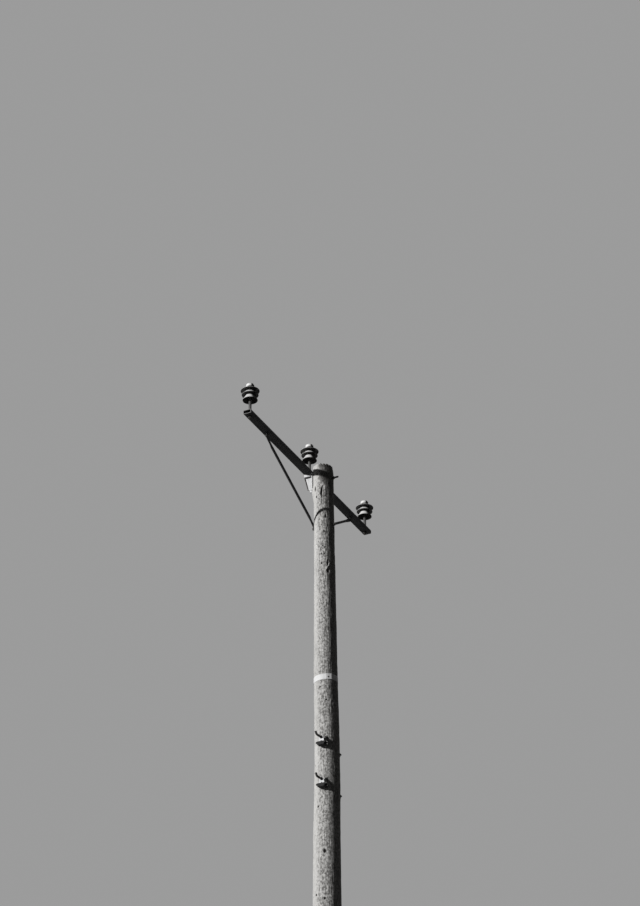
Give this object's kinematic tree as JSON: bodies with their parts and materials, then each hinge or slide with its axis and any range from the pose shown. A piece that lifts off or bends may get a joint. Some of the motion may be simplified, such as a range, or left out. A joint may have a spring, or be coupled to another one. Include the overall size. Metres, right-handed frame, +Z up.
{
  "type": "wooden utility pole with crossarm",
  "caption": "Tapered wooden line pole with a hollow steel crossarm, pin insulators, tubular braces, a marker strip and hooks with cable clamps.",
  "frame": {"origin": "on the pole's axis at ground level", "axes": "+Z up the pole, +X along the crossarm, the crossarm stands off the pole on the -Y side"},
  "size_m": [2.676, 0.403, 14.274],
  "materials": {
    "weathered_wood": "silver grey, weathered and checked",
    "dark_steel": "dark, dull and weathered",
    "galvanised_steel": "weathered zinc",
    "pale_glaze": "pale grey gloss with soot in the undersides",
    "marker_aluminium": "bright sheet",
    "clamp_aluminium": "cast, slightly rough",
    "black_polymer": "black moulded jaw, sun-dulled"
  },
  "bodies": {
    "root": {"arm_bolt_left": "galvanised_steel", "arm_bolt_right": "galvanised_steel", "arm_bracket": "galvanised_steel", "arm_nut_left": "galvanised_steel", "arm_nut_right": "galvanised_steel", "brace_bolt": "galvanised_steel", "brace_left": "dark_steel", "brace_nut": "galvanised_steel", "brace_right": "dark_steel", "brace_washer": "galvanised_steel", "bracket_bolt": "galvanised_steel", "bracket_nut": "galvanised_steel", "bracket_screw": "galvanised_steel", "bracket_washer": "galvanised_steel", "cable_clamp_lower_left": "clamp_aluminium", "cable_clamp_lower_right": "clamp_aluminium", "cable_clamp_upper_left": "clamp_aluminium", "cable_clamp_upper_right": "clamp_aluminium", "cable_hook_lower_left": "dark_steel", "cable_hook_lower_right": "dark_steel", "cable_hook_upper_left": "dark_steel", "cable_hook_upper_right": "dark_steel", "clamp_keeper_lower_left": "black_polymer", "clamp_keeper_lower_right": "black_polymer", "clamp_keeper_upper_left": "black_polymer", "clamp_keeper_upper_right": "black_polymer", "crossarm": "dark_steel", "insulator_left": "pale_glaze", "insulator_middle": "pale_glaze", "insulator_pin_left": "galvanised_steel", "insulator_pin_middle": "galvanised_steel", "insulator_pin_right": "galvanised_steel", "insulator_right": "pale_glaze", "marker_nails": "dark_steel", "marker_strip": "marker_aluminium", "pin_nut_left": "galvanised_steel", "pin_nut_middle": "galvanised_steel", "pin_nut_right": "galvanised_steel", "pin_washer_left": "galvanised_steel", "pin_washer_middle": "galvanised_steel", "pin_washer_right": "galvanised_steel", "pole": "weathered_wood"}
  },
  "joints": []
}
